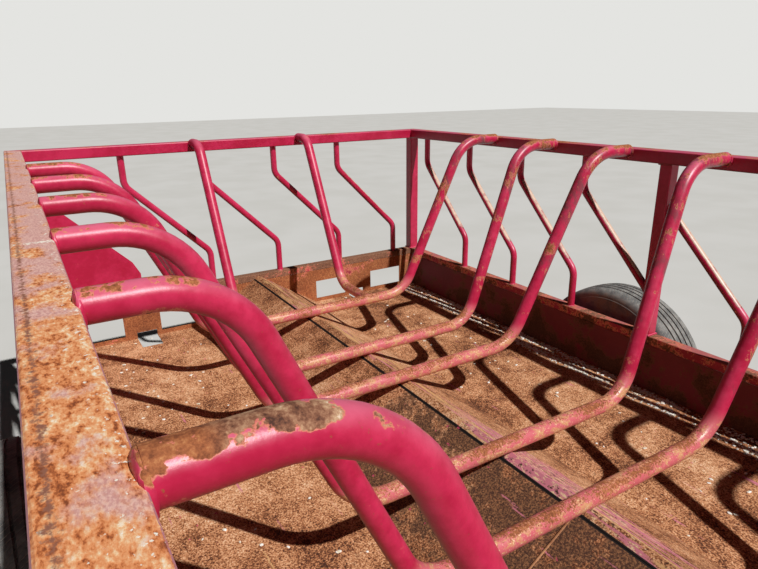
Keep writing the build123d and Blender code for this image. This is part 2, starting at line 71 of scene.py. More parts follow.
# What only the scene has, in metres. Weld beads, as a radius or as (width, height), how far the
# toe bulges over the rail from a cradle's end, and how far bead and toe stay below the pipe's top
CRADLE_BEAD, BAR_BEAD, POST_BEAD = 0.0048, 0.0034, 0.005
SEAM_BEAD, MITRE_BEAD = (0.006, 0.003), (0.006, 0.0016)
CRADLE_TOE, WELD_INSET = 0.0065, 0.0006
# The floor's cross seam ahead of the rear rail
CROSS_SEAM = 2.361
# The tread's grooves, one groove's section as (across, down), and the tyre's side from the tread
# to the seat as (from the middle, from the axle)
TREAD_GROOVES = (-0.045, -0.015, 0.015, 0.045)
GROOVE_SECTION = ((-0.0042, 0.0), (-0.0030, 0.0085), (0.0030, 0.0085), (0.0042, 0.0))
TYRE_SIDE = (
    (0.066, 0.4012), (0.077, 0.3995), (0.0875, 0.3935), (0.0945, 0.3840), (0.0985, 0.3710),
    (0.0995, 0.3640), (0.1012, 0.3630), (0.1042, 0.3450), (0.1070, 0.3200), (0.1075, 0.3030),
    (0.1062, 0.2850), (0.1062, 0.2800), (0.1030, 0.2740), (0.0960, 0.2560), (0.0880, 0.2430),
    (0.0872, 0.2385), (0.0800, 0.2300), (0.0752, 0.2235), (0.0730, SEAT_RADIUS))
# A washer, a nut and a stud's end, and a valve's stem and cap, as (depth, radius, sides, start)
NUT_PARTS = ((0.004, 0.0155, 16, 0.0), (0.016, 0.0138, 6, 0.004), (0.006, 0.0068, 12, 0.020))
NUT_CHAMFER = 0.0012
VALVE_PARTS = ((0.022, 0.0040, 12, 0.0), (0.012, 0.0052, 12, 0.018))
VALVE_DEGREES = -60
# The chaff's grains and clumps, and its drifts as (count, place, spread, in clumps)
GRAIN_LEAST, GRAIN_MOST = 0.0024, 0.0064
CLUMP_COUNT, CLUMP_SPREAD = 230, 0.022
CHAFF_DRIFTS = (
    (3000, PANEL_IN - 0.030, 0.011, True), (3000, PANEL_IN - 0.100, 0.013, True),
    (420, PANEL_IN - 0.065, 0.018, False), (230, 0.70, 0.20, False), (260, -0.72, 0.16, False))

# Old rust, from dark scale through brown and orange bloom to tan dust: on most of the wagon, on
# the side panels, darker there partly as painted shade, and on the sills
RUST_TONES = (
    (0.30, "#4A2414"), (0.42, "#7E4426"), (0.52, "#A9633A"), (0.62, "#C98A58"), (0.74, "#E0B587"))
DARK_AND_SHADED_TONES = (
    (0.30, "#2A1811"), (0.42, "#4E2F22"), (0.52, "#6E4533"), (0.62, "#8E6048"), (0.74, "#B48A6A"))
BROWN_TONES = (
    (0.30, "#38241A"), (0.42, "#694432"), (0.52, "#8F6148"), (0.62, "#AE8062"), (0.74, "#CDA682"))
# Steel worn to olive brown and cream
WORN_TONES = (
    (0.36, "#4E2C20"), (0.45, "#84543C"), (0.53, "#AA7C5E"), (0.61, "#C8A27E"), (0.70, "#F8EAD6"))

# Direction in which the key light travels
KEY_LIGHT = Vector((-0.84, -0.20, -1.0))

# The view's right, down and forward directions, its place, and its lens and sensor in millimetres
CAMERA_ROWS = (
    (0.521164, 0.853348, -0.013585),
    (0.260747, -0.174362, -0.949531),
    (-0.812649, 0.491319, -0.31338),
)
CAMERA_PLACE = Vector((REAR_IN + 3.1788, -1.105, 1.7233))
LENS, SENSOR_WIDTH = 28.07, 36.0


def camera_view():
    """The view from over the right rail, near the middle of the box, to the rear."""
    data = bpy.data.cameras.new("view")
    data.sensor_width = SENSOR_WIDTH
    data.lens = LENS
    data.clip_start = 0.02
    data.clip_end = 100.0
    view = bpy.data.objects.new("view", data)
    bpy.context.collection.objects.link(view)
    right, down, ahead = CAMERA_ROWS
    turn = Matrix((right, [-v for v in down], [-v for v in ahead])).transposed()
    view.matrix_world = Matrix.Translation(CAMERA_PLACE) @ turn.to_4x4()
    bpy.context.scene.camera = view


def linear(hex_colour):
    """sRGB hex to the linear colour that Blender's nodes take."""
    channels = [int(hex_colour[i:i + 2], 16) / 255 for i in (1, 3, 5)]
    return [c / 12.92 if c <= 0.04045 else ((c + 0.055) / 1.055) ** 2.4 for c in channels] + [1.0]


def add(material, kind, inputs=None, stops=(), **settings):
    """Adds one node: its properties, its ramp's stops, and its inputs, set or linked."""
    made = material.node_tree.nodes.new(kind)
    for name, value in settings.items():
        setattr(made, name, value)
    for k, (place, colour) in enumerate(stops):
        band = made.color_ramp.elements[k] if k < 2 else made.color_ramp.elements.new(place)
        band.position, band.color = place, linear(colour)
    for name, value in (inputs or {}).items():
        if isinstance(value, bpy.types.NodeSocket):
            material.node_tree.links.new(value, made.inputs[name])
        else:
            made.inputs[name].default_value = value
    return made


def per_mm(size):
    """Noise scale, in turns per metre, that gives a pattern of this size in millimetres."""
    return 1000.0 / size


def blank(name):
    material = bpy.data.materials.new(name)
    material.use_nodes = True
    material.node_tree.nodes.clear()
    return material


def finish(material, colour, roughness, height=None, depth=0.0005, **fixed):
    """Closes a material: its shader, with a bump where it has a height."""
    inputs = {"Base Color": colour, "Roughness": roughness}
    inputs.update({name.replace("_", " "): value for name, value in fixed.items()})
    if height is not None:
        bump = add(material, "ShaderNodeBump", {"Height": height, "Distance": depth, "Strength": 1.0})
        inputs["Normal"] = bump.outputs[0]
    shader = add(material, "ShaderNodeBsdfPrincipled", inputs)
    add(material, "ShaderNodeOutputMaterial", {"Surface": shader.outputs[0]})
    return material


def laid_over(material, under, over, amount, start, full):
    """Lays one colour over another where the amount goes from start to full."""
    share = add(material, "ShaderNodeMapRange", {0: amount, 1: start, 2: full},
                interpolation_type="SMOOTHSTEP")
    return add(material, "ShaderNodeMix", {0: share.outputs[0], 6: under, 7: over},
               data_type="RGBA").outputs[2]


def summed(material, base, *terms):
    """Adds weighted values to a base number."""
    total = base
    for value, weight in terms:
        total = add(material, "ShaderNodeMath", {0: value, 1: weight, 2: total},
                    operation="MULTIPLY_ADD").outputs[0]
    return total


def product(material, *values):
    """Values multiplied together."""
    total = values[0]
    for value in values[1:]:
        total = add(material, "ShaderNodeMath", {0: total, 1: value}, operation="MULTIPLY").outputs[0]
    return total


def away(material, value, middle=0.0):
    """How far a value is from a middle."""
    gap = summed(material, -middle, (value, 1.0))
    return add(material, "ShaderNodeMath", {0: gap}, operation="ABSOLUTE").outputs[0]


def ramped(material, value, start, full):
    """Zero to one where the value goes from start to full."""
    return add(material, "ShaderNodeMapRange", {0: value, 1: start, 2: full},
               interpolation_type="SMOOTHSTEP").outputs[0]


def cloudy(material, place, size, stretch=(1, 1, 1), shift=(0, 0, 0), detail=3.0, rough=0.55):
    """Noise of a size in millimetres, stretched along the axes and shifted."""
    moved = add(material, "ShaderNodeMapping", {"Vector": place, "Location": shift, "Scale": stretch})
    return add(material, "ShaderNodeTexNoise", {"Vector": moved.outputs[0], "Scale": per_mm(size),
                                                "Detail": detail, "Roughness": rough}).outputs[0]


def surface(material):
    """The places and facings that the patterns read."""
    coords = add(material, "ShaderNodeTexCoord")
    at = add(material, "ShaderNodeSeparateXYZ", {0: coords.outputs["Object"]})
    facing = add(material, "ShaderNodeSeparateXYZ", {0: coords.outputs["Normal"]})
    return coords.outputs["Object"], at.outputs, facing.outputs


def enamel_and_rust(name, amount_of, sheen=0.30, tones=RUST_TONES, deep="#B91840", light="#D02A56",
                    faded_and_highlight="#E0708A", border="#DB7E66", chips=0.64, streaks=False):
    """Crimson enamel, brushed on steel, faded where it faces up with a painted highlight there, painted
    shade on faces turned from the key light, and rust where it has gone.

    amount_of gives how far rust has come, where the pipe is worn to olive brown, and where cattle
    have rubbed the paint pale. The last two may be None.
    """
    material = blank(name)
    place, at, facing = surface(material)
    amount, worn, rubbed = amount_of(material, place, at, facing)
    tone = cloudy(material, place, 190, detail=2.0)
    fine = cloudy(material, place, 7, detail=5.0, rough=0.72)
    mottle = cloudy(material, place, 26, shift=(4.0, 0.0, 1.0), detail=4.0, rough=0.65)
    shades = summed(material, 0.0, (tone, 0.6), (mottle, 0.4))
    paint = laid_over(material, linear(deep), linear(light), shades, 0.38, 0.62)
    # Paint faded by the sun where it faces up, and lighter still there as a painted highlight
    up = summed(material, -0.30, (facing[2], 0.85), (tone, 0.25), (mottle, 0.35))
    paint = laid_over(material, paint, linear(faded_and_highlight), up, 0.20, 1.05)
    # Painted shade: faces turned from the key light, and undersides, get deeper paint and darker rust
    painted_shade = summed(material, 0.0, (facing[0], -0.64), (facing[1], -0.15), (facing[2], -0.76))
    paint = laid_over(material, paint, linear("#6E0E26"), painted_shade, -0.10, 0.50)
    if rubbed is not None:
        # The left legs are dulled with soil; the low runs are rubbed pink, tan and cream
        dulled = ramped(material, at[1], 0.35, 0.75)
        soil = cloudy(material, place, 55, stretch=(1.0, 1.0, 0.35), shift=(3.0, 1.0, 7.0),
                      detail=5.0, rough=0.7)
        soiled = summed(material, -0.30, (dulled, 0.34), (soil, 0.95))
        paint = laid_over(material, paint, linear("#8C4850"), soiled, 0.46, 0.66)
        dusted = cloudy(material, place, 30, stretch=(1.0, 0.6, 1.0), shift=(1.0, 4.0, 2.0),
                        detail=6.0, rough=0.8)
        fleck = cloudy(material, place, 4.5, shift=(1.0, 9.0, 2.0), detail=3.0, rough=0.7)
        tan = summed(material, -0.33, (rubbed, 0.33), (dusted, 1.0))
        cream = summed(material, -0.34, (rubbed, 0.33), (fleck, 0.8), (dusted, 0.2))
        paint = laid_over(material, paint, linear("#D86A72"), rubbed, 0.1, 0.9)
        paint = laid_over(material, paint, linear("#D99B70"), tan, 0.49, 0.55)
        paint = laid_over(material, paint, linear("#F6D7AC"), cream, 0.56, 0.61)
    # Rust dust and chips in the film
    paint = laid_over(material, paint, linear("#A5603C"), fine, chips, chips + 0.06)
    if streaks:
        # Cattle have rubbed the slanted runs down to pale primer, in a streak along their upper side,
        # which faces the key light; its cream is partly a painted highlight
        slanted = product(material, ramped(material, at[2], SILL_TOP + 0.20, SILL_TOP + 0.26),
                          ramped(material, at[2], RAIL_BASE - 0.10, RAIL_BASE - 0.20),
                          ramped(material, facing[2], 0.30, 0.56), ramped(material, at[1], 0.5, 0.6))
        rub_and_highlight = summed(material, -0.25, (slanted, 0.54), (mottle, 0.75))
        paint = laid_over(material, paint, linear("#8A4A40"), rub_and_highlight, 0.34, 0.40)
        paint = laid_over(material, paint, linear("#C48E84"), rub_and_highlight, 0.40, 0.46)
        paint = laid_over(material, paint, linear("#E0BFA8"), rub_and_highlight, 0.54, 0.68)
    dusty = summed(material, 0.12, (fine, 0.62), (tone, 0.14))
    rust = add(material, "ShaderNodeValToRGB", {0: dusty}, stops=tones).outputs[0]
    # Painted shade on the rust too, on faces turned from the key light
    rust = laid_over(material, rust, linear("#2C150D"), painted_shade, -0.10, 0.50)
    if worn is not None:
        olive = summed(material, -0.10, (fine, 0.55), (mottle, 0.65))
        dull = add(material, "ShaderNodeValToRGB", {0: olive}, stops=WORN_TONES).outputs[0]
        rust = laid_over(material, rust, dull, worn, 0.2, 0.8)
    colour = laid_over(material, paint, linear(border), amount, 0.45, 0.495)
    colour = laid_over(material, colour, rust, amount, 0.50, 0.535)
    gone = ramped(material, amount, 0.48, 0.53)
    rough = summed(material, sheen, (gone, 0.80 - sheen), (fine, 0.08), (mottle, 0.06))
    height = summed(material, 0.0, (gone, -0.5), (fine, 0.30), (mottle, 0.25))
    return finish(material, colour, rough, height, 0.0008)


def cradle_wear(material, place, at, facing):
    """Rust on the tops by the rails, where cattle reach, and dense speckle along the low runs."""
    patch = cloudy(material, place, 72, stretch=(1.0, 0.55, 1.0), detail=5.0, rough=0.62)
    speck = cloudy(material, place, 6, detail=4.0, rough=0.76)
    pits = cloudy(material, place, 17, shift=(2.0, 5.0, 0.0), detail=3.0, rough=0.6)
    high = ramped(material, at[2], RAIL_TOP - 0.10, RAIL_TOP - 0.03)
    low = ramped(material, at[2], RAIL_TOP - 0.64, RAIL_TOP - 0.72)
    up = ramped(material, facing[2], 0.25, 0.90)
    aside = away(material, at[1])
    by_rail = product(material, ramped(material, aside, 0.80, 0.98), high,
                      ramped(material, facing[2], 0.45, 0.85))
    # The cradle nearest to the view is worn the most, over its top by the right rail
    near = ramped(material, at[0], REAR_IN + 2.60, REAR_IN + 2.72)
    worn = product(material, near, ramped(material, at[1], -0.74, -0.86), high,
                   ramped(material, facing[2], 0.28, 0.62))
    runs = product(material, low, up)
    dense = product(material, low, speck)
    # Islands of paint in the worn parts, and streaks of rust down the left legs
    islands = cloudy(material, place, 27, stretch=(1.0, 0.7, 1.0), shift=(6.0, 1.0, 3.0),
                     detail=4.0, rough=0.6)
    left = ramped(material, at[1], 0.35, 0.75)
    streak = cloudy(material, place, 20, stretch=(1.0, 1.0, 0.22), shift=(8.0, 2.0, 3.0),
                    detail=5.0, rough=0.72)
    amount = summed(material, -0.32, (patch, 0.90), (speck, 0.20), (pits, 0.18), (by_rail, -0.09),
                    (product(material, by_rail, pits), 0.60), (worn, -0.54),
                    (product(material, worn, islands), 1.25), (left, -0.33),
                    (product(material, left, streak), 0.80), (runs, 0.14), (dense, 0.80), (low, -0.385))
    brown = ramped(material, at[1], -1.045, -0.985)
    return amount, product(material, worn, brown), low


def patchy(material, place, base, size, patches, specks, *terms, stretch=(1, 1, 1), detail=5.0,
           speck_size=9):
    """Rust from soft patches, fine specks and terms of the place, with no worn or rubbed part."""
    patch = cloudy(material, place, size, stretch=stretch, detail=detail, rough=0.65)
    speck = cloudy(material, place, speck_size, detail=4.0, rough=0.7)
    return summed(material, base, (patch, patches), (speck, specks), *terms), None, None


def bar_wear(material, place, at, facing):
    """Small chips, and rust near the feet of the slant bars."""
    foot = ramped(material, at[2], SILL_TOP + 0.09, SILL_TOP)
    return patchy(material, place, -0.23, 60, 0.80, 0.26, (foot, 0.08), stretch=(1.0, 1.0, 0.5),
                  detail=4.0, speck_size=8)


def rail_wear(material, place, at, facing):
    """A rusty top with remains of paint, and chipped sides."""
    up = ramped(material, facing[2], 0.55, 0.85)
    return patchy(material, place, -0.26, 90, 0.78, 0.28, (up, 0.17), stretch=(0.6, 0.6, 1.0))


def sill_wear(material, place, at, facing):
    """Most of the paint is rubbed off the top of the rear sill, and less of it off the side sills."""
    up = ramped(material, facing[2], 0.5, 0.9)
    rear = ramped(material, at[0], REAR_IN + 0.06, REAR_IN + 0.01)
    return patchy(material, place, -0.02, 120, 0.72, 0.28, (up, 0.03), (rear, 0.10))


def panel_wear(material, place, at, facing):
    """Rust grows from the floor line up the sheet."""
    low = ramped(material, at[2], SILL_TOP - 0.05, FLOOR_TOP)
    return patchy(material, place, -0.08, 150, 0.75, 0.26, (low, 0.10))


def plate_wear(material, place, at, facing):
    """The end plates are brown with rust nearly all over."""
    low = ramped(material, at[2], SILL_TOP - 0.05, FLOOR_TOP)
    return patchy(material, place, 0.04, 130, 0.78, 0.26, (low, 0.08))


def frame_wear(material, place, at, facing):
    """Road dirt and rust over the paint of the running gear."""
    return patchy(material, place, -0.12, 85, 0.75, 0.26, speck_size=8)


def rubbed_rail(name):
    """The right rail's top: tube gone to pebbly orange and cream rust, with remains of faded paint."""
    material = blank(name)
    place, at, facing = surface(material)
    pebbles = cloudy(material, place, 7, stretch=(0.55, 1.0, 1.0), detail=4.0, rough=0.68)
    fine = cloudy(material, place, 3.0, stretch=(0.6, 1.0, 1.0), detail=3.0, rough=0.7)
    broad = cloudy(material, place, 110, stretch=(0.8, 1.2, 1.0), shift=(3.1, 0.4, 0.0),
                   detail=4.0, rough=0.6)
    mixed = summed(material, -0.12, (pebbles, 0.70), (fine, 0.22), (broad, 0.34))
    rust = add(material, "ShaderNodeValToRGB", {0: mixed}, stops=(
        (0.37, "#8A4828"), (0.43, "#C46E3C"), (0.48, "#E8935C"), (0.54, "#F2AB76"), (0.60, "#FACD9C"),
        (0.68, "#FFF2DC"))).outputs[0]
    # Faded paint stays in soft patches, more of them to the rear and two near the view
    rear = ramped(material, at[0], REAR_IN + 2.70, REAR_IN + 2.0)
    ahead = product(material, ramped(material, at[0], REAR_IN + 2.70, REAR_IN + 2.74),
                    ramped(material, at[0], REAR_IN + 2.86, REAR_IN + 2.80))
    film = cloudy(material, place, 62, stretch=(0.75, 1.1, 1.0), shift=(0.7, 1.9, 0.0),
                  detail=4.0, rough=0.6)
    kept = summed(material, -0.08, (film, 0.85), (pebbles, 0.22), (rear, 0.17), (ahead, 0.05))
    faded = laid_over(material, linear("#D39A93"), linear("#EBBDAF"), fine, 0.40, 0.60)
    colour = laid_over(material, rust, faded, kept, 0.50, 0.64)
    # White and yellow flecks along the inner edge, and a white streak across
    inner = ramped(material, at[1], -RAIL_IN - 0.034, -RAIL_IN - 0.004)
    fleck = cloudy(material, place, 7, shift=(5.0, 2.0, 1.0), detail=4.0, rough=0.7)
    streak = product(material, ramped(material, at[0], REAR_IN + 2.005, REAR_IN + 2.018),
                     ramped(material, at[0], REAR_IN + 2.037, REAR_IN + 2.024))
    white = summed(material, 0.0, (fleck, 1.0), (inner, 0.075), (streak, 0.16))
    colour = laid_over(material, colour, linear("#FBF3E2"), white, 0.66, 0.70)
    # A mottled dark line of pits near the outer edge
    off = away(material, at[1], 0.013 - RAIL_OUT)
    pits = summed(material, 0.18, (off, -26.0), (fleck, 0.80), (pebbles, 0.25))
    colour = laid_over(material, colour, linear("#96624E"), pits, 0.58, 0.76)
    # The sides and the rounded edges keep mauve paint with rust through it
    side = ramped(material, facing[2], 0.93, 0.60)
    through = summed(material, 0.0, (broad, 0.45), (fine, 0.55))
    flank = laid_over(material, linear("#C98A94"), rust, through, 0.50, 0.60)
    colour = laid_over(material, colour, flank, side, 0.1, 0.9)
    height = summed(material, 0.0, (pebbles, 0.9), (fine, 0.35))
    return finish(material, colour, summed(material, 0.58, (fine, 0.25)), height, 0.0010)


def rusted_floor(name):
    """Sheet steel under old hay: grained orange rust, dark scale on the ridge, and streaks of paint."""
    material = blank(name)
    place, at, _ = surface(material)
    grain = cloudy(material, place, 5.5, detail=4.0, rough=0.78)
    speck = cloudy(material, place, 17, shift=(1.0, 2.0, 0.0), detail=5.0, rough=0.7)
    mid = cloudy(material, place, 85, detail=4.0, rough=0.6)
    broad = cloudy(material, place, 420, detail=3.0, rough=0.55)
    mixed = summed(material, -0.40, (grain, 0.96), (speck, 0.26), (mid, 0.32), (broad, 0.28))
    rust = add(material, "ShaderNodeValToRGB", {0: mixed}, stops=(
        (0.39, "#452414"), (0.46, "#925632"), (0.52, "#C58456"), (0.57, "#DEA072"), (0.64, "#F0BE92"),
        (0.73, "#FFE6C4"))).outputs[0]
    # The ridge's two slopes, and how far ahead
    left = product(material, ramped(material, at[1], SEAM_Y, SEAM_Y + 0.003),
                   ramped(material, at[1], RIDGE_HALF + 0.01, RIDGE_HALF - 0.02))
    right = product(material, ramped(material, at[1], SEAM_Y, SEAM_Y - 0.003),
                    ramped(material, at[1], -RIDGE_HALF - 0.01, -RIDGE_HALF + 0.02))
    ahead = ramped(material, at[0], REAR_IN + 1.2, REAR_IN + 1.9)
    crest = ramped(material, at[1], 0.17, 0.04)
    # Dark scale on the right slope, ahead, with tan flakes
    scaled = summed(material, -0.06, (mid, 0.55), (speck, 0.40), (product(material, right, ahead), 0.19),
                    (product(material, left, crest, ahead), 0.08))
    dark = laid_over(material, linear("#482A1E"), linear("#A8744C"), grain, 0.42, 0.66)
    colour = laid_over(material, rust, dark, scaled, 0.52, 0.60)
    # Streaks along the left slope: tan, then pink paint that the hay has not rubbed away
    flow = cloudy(material, place, 34, stretch=(0.13, 1.25, 1.0), shift=(2.0, 0.3, 0.0),
                  detail=5.0, rough=0.62)
    other = cloudy(material, place, 30, stretch=(0.11, 1.3, 1.0), shift=(6.0, 3.3, 0.0),
                   detail=4.0, rough=0.6)
    band = product(material, left, ramped(material, at[1], 0.24, 0.10))
    tan = summed(material, -0.04, (flow, 0.85), (band, 0.13), (grain, 0.08))
    colour = laid_over(material, colour, linear("#E0AE76"), tan, 0.56, 0.64)
    by_seam = ramped(material, away(material, at[0], REAR_IN + 2.20), 0.55, 0.10)
    bright = product(material, band, by_seam)
    painted = summed(material, -0.12, (other, 0.90), (bright, 0.15), (band, 0.08), (grain, 0.10))
    colour = laid_over(material, colour, linear("#D27C8A"), painted, 0.53, 0.58)
    # Where it breaks up there are cream crumbs and dark pits
    crumbs = cloudy(material, place, 10, stretch=(0.4, 1.0, 1.0), shift=(4.0, 4.0, 0.0),
                    detail=4.0, rough=0.7)
    breaking = summed(material, -0.27, (band, 0.08), (bright, 0.11), (crumbs, 1.1))
    colour = laid_over(material, colour, linear("#EBC79C"), breaking, 0.50, 0.55)
    pitted = summed(material, 0.62, (speck, -1.0), (band, 0.18), (bright, 0.12))
    colour = laid_over(material, colour, linear("#4A2A1E"), pitted, 0.48, 0.54)
    # The open joint of the two sheets, painted dark wider than the gap as the shade inside it
    gap = ramped(material, away(material, at[1], SEAM_Y), 0.0052, 0.0034)
    colour = laid_over(material, colour, linear("#140B08"), gap, 0.3, 0.7)
    # Small flakes of paint
    flakes = cloudy(material, place, 24, shift=(7.0, 3.0, 0.0), detail=3.0, rough=0.6)
    left_on = summed(material, 0.0, (flakes, 0.8), (broad, 0.25))
    colour = laid_over(material, colour, linear("#D0496C"), left_on, 0.70, 0.73)
    height = summed(material, 0.0, (grain, 0.7), (speck, 0.5))
    return finish(material, colour, summed(material, 0.70, (grain, 0.2)), height, 0.0013)


def tyre_rubber(name):
    """Weathered tread rubber: grey with dust, with diagonal sipes cut across its ribs."""
    material = blank(name)
    uv = add(material, "ShaderNodeUVMap", uv_map="tread").outputs[0]
    place = surface(material)[0]
    round_v = add(material, "ShaderNodeSeparateXYZ", {0: uv}).outputs
    dust = cloudy(material, place, 45, detail=4.0, rough=0.6)
    fine = cloudy(material, place, 5, detail=4.0, rough=0.7)
    # Sipes 16 mm apart, which lean across the ribs
    across = summed(material, 0.0, (round_v[0], per_mm(16)), (round_v[1], per_mm(24)), (fine, 0.3))
    cut = add(material, "ShaderNodeMath", {0: across}, operation="FRACT").outputs[0]
    edge = away(material, round_v[1])
    on_tread = ramped(material, edge, TREAD_HALF + 0.012, TREAD_HALF + 0.004)
    slit = product(material, ramped(material, cut, 0.16, 0.06), on_tread)
    grey = laid_over(material, linear("#6B6A68"), linear("#9A9791"), dust, 0.35, 0.68)
    wall = summed(material, 0.0, (dust, 0.5), (edge, 3.6))
    colour = laid_over(material, grey, linear("#7A6552"), wall, 0.55, 0.75)
    colour = laid_over(material, colour, linear("#AFA99C"), slit, 0.3, 0.9)
    height = summed(material, 0.5, (slit, -0.8), (fine, 0.15))
    return finish(material, colour, 0.85, height, 0.002)


def plain_metal(name, dark, light, rough, metallic=0.0, size=12.0):
    """Cast or forged steel with an even film of rust and dirt."""
    material = blank(name)
    place = surface(material)[0]
    grain = cloudy(material, place, size, detail=5.0, rough=0.7)
    broad = cloudy(material, place, size * 9, detail=3.0)
    mixed = summed(material, 0.0, (grain, 0.55), (broad, 0.45))
    colour = laid_over(material, linear(dark), linear(light), mixed, 0.38, 0.62)
    return finish(material, colour, summed(material, rough, (grain, 0.2)), grain, 0.0006,
                  Metallic=metallic)


def chaff_straw(name):
    """Dry chaff and seed, pale and matt."""
    material = blank(name)
    place = surface(material)[0]
    tone = cloudy(material, place, 12, detail=2.0)
    colour = laid_over(material, linear("#E2D3B4"), linear("#FFFDF6"), tone, 0.35, 0.62)
    return finish(material, colour, 0.9, tone, 0.0003)


def studio_floor(name):
    """Plain pale matt floor."""
    material = blank(name)
    place = surface(material)[0]
    tone = cloudy(material, place, 900, detail=2.0)
    colour = laid_over(material, linear("#D4D2CC"), linear("#DAD8D3"), tone, 0.3, 0.7)
    return finish(material, colour, 0.9)


def piece(name, made, body, material, smooth=None):
    """Closes a bmesh into a piece that rides on a body."""
    bmesh.ops.recalc_face_normals(made, faces=made.faces[:])
    mesh = bpy.data.meshes.new(name)
    made.to_mesh(mesh)
    made.free()
    if smooth:
        mesh.shade_smooth()
        mesh.set_sharp_from_angle(angle=math.radians(smooth))
    built = bpy.data.objects.new(name, mesh)
    bpy.context.collection.objects.link(built)
    mesh.materials.append(material)
    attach(built, body)
    return built


def rolled_copy(node, radius, shortest, material, body):
    """A box tube with the rounded corners that rolled tube has, in place of its sharp solid."""
    made = bmesh.new()
    made.from_mesh(nodes[node].data)
    bmesh.ops.remove_doubles(made, verts=made.verts[:], dist=0.00005)
    bmesh.ops.dissolve_limit(made, angle_limit=math.radians(1), verts=made.verts[:], edges=made.edges[:])
    corners = [e for e in made.edges if e.is_manifold and e.is_convex and e.calc_length() > shortest
               and e.calc_face_angle() > 1.0]
    bmesh.ops.bevel(made, geom=corners, offset=radius, offset_type="OFFSET", segments=4, profile=0.5,
                    affect="EDGES", material=-1)
    built = piece(f"{node}_rolled", made, body, material)
    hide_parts(node)


def weld_ring(made, place, along, radius, bead, steps=14):
    """A weld bead round the end of a round bar."""
    along = Vector(along).normalized()
    outward = along.orthogonal().normalized()
    turn = Matrix((outward, along.cross(outward), along)).transposed().to_4x4()
    upright = turn @ Matrix.Rotation(math.radians(90), 4, "X")
    middle = Matrix.Translation(Vector(place) + outward * radius)
    section = bmesh.ops.create_circle(made, cap_ends=False, segments=6, radius=bead,
                                      matrix=middle @ upright)
    edges = list({e for v in section["verts"] for e in v.link_edges})
    bmesh.ops.spin(made, geom=section["verts"] + edges, cent=place, axis=along, dvec=(0, 0, 0),
                   angle=2 * math.pi, steps=steps, use_merge=True)


def cradle_end(made, place, inward):
    """A pipe's end on a rail's inner side: a bead round it, and a filled toe on the rail's top."""
    weld_ring(made, (*place, RAIL_TOP - CRADLE_DROP - CRADLE_BEAD - WELD_INSET), inward, CRADLE_RADIUS,
              CRADLE_BEAD, steps=28)
    across = Vector(inward).cross(Vector((0, 0, 1)))
    turn = Matrix((across, inward, (0, 0, 1))).transposed().to_4x4()
    middle = Vector((*place, RAIL_TOP - CRADLE_DROP)) - Vector(inward) * 0.001
    inside = CRADLE_RADIUS - WELD_INSET
    bmesh.ops.create_uvsphere(made, u_segments=24, v_segments=14, radius=1.0,
                              matrix=Matrix.Translation(middle) @ turn
                              @ Matrix.Diagonal((inside, CRADLE_TOE, inside, 1)))


def uneven(made, amount, seed):
    """Small irregularity, as a hand-laid bead has."""
    chance = random.Random(seed)
    for v in made.verts:
        v.co += Vector([chance.uniform(-amount, amount) for _ in range(3)])


def weld_collar(made, x, y, z, half, bead, up):
    """A weld bead round the end of a square post."""
    size = 2 * (half + bead)
    block = bmesh.ops.create_cube(made, size=1.0, matrix=Matrix.Translation((x, y, z + up * bead / 2))
                                  @ Matrix.Diagonal((size, size, bead, 1)))
    corners = [e for e in {e for v in block["verts"] for e in v.link_edges}
               if all((v.co.z - z) * up > bead * 0.9 for v in e.verts)]
    bmesh.ops.bevel(made, geom=corners, offset=bead * 0.85, offset_type="OFFSET", segments=2,
                    profile=0.5, affect="EDGES", material=-1)


def weld_line(made, start, end, width, height):
    """A straight weld bead that lies on a face, from start to end."""
    start, end = Vector(start), Vector(end)
    run = (end - start).normalized()
    side = run.cross(Vector((0, 0, 1))).normalized()
    up = side.cross(run)
    turn = Matrix((run, side, up)).transposed().to_4x4()
    bmesh.ops.create_cone(made, cap_ends=True, segments=8, radius1=0.5, radius2=0.5, depth=1.0,
                          matrix=Matrix.Translation((start + end) / 2) @ turn
                          @ Matrix.Diagonal(((end - start).length, width, height, 1))
                          @ Matrix.Rotation(math.radians(90), 4, "Y"))


def detailed_tyre(node, body, material):
    """A ribbed road tyre with grooves, round shoulders and ringed sidewalls, spun about its axle."""
    low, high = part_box(node)
    centre = (low + high) / 2
    made = bmesh.new()
    crown = []
    for groove in TREAD_GROOVES:
        for across, down in GROOVE_SECTION:
            v = groove + across
            crown.append((v, WHEEL_RADIUS - 0.005 * (v / TREAD_HALF) ** 2 - down))
    outline = [(-v, r) for v, r in reversed(TYRE_SIDE)] + crown + list(TYRE_SIDE)
    ring = [made.verts.new((centre.x, centre.y + v, centre.z + r)) for v, r in outline]
    edges = [made.edges.new((ring[i], ring[(i + 1) % len(ring)])) for i in range(len(ring))]
    bmesh.ops.spin(made, geom=ring + edges, cent=centre, axis=(0, 1, 0), dvec=(0, 0, 0),
                   angle=2 * math.pi, steps=96, use_merge=True)
    bmesh.ops.remove_doubles(made, verts=made.verts[:], dist=0.00001)
    uv = made.loops.layers.uv.new("tread")
    for face in made.faces:
        middle = face.calc_center_median() - centre
        turn = math.atan2(middle.x, middle.z)
        for loop in face.loops:
            spot = loop.vert.co - centre
            more = math.atan2(spot.x, spot.z) - turn
            more = (more + math.pi) % (2 * math.pi) - math.pi
            loop[uv].uv = ((turn + more) * WHEEL_RADIUS, spot.y)
    built = piece(node.replace("tyre", "road_tyre"), made, body, material, smooth=38)
    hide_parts(node)


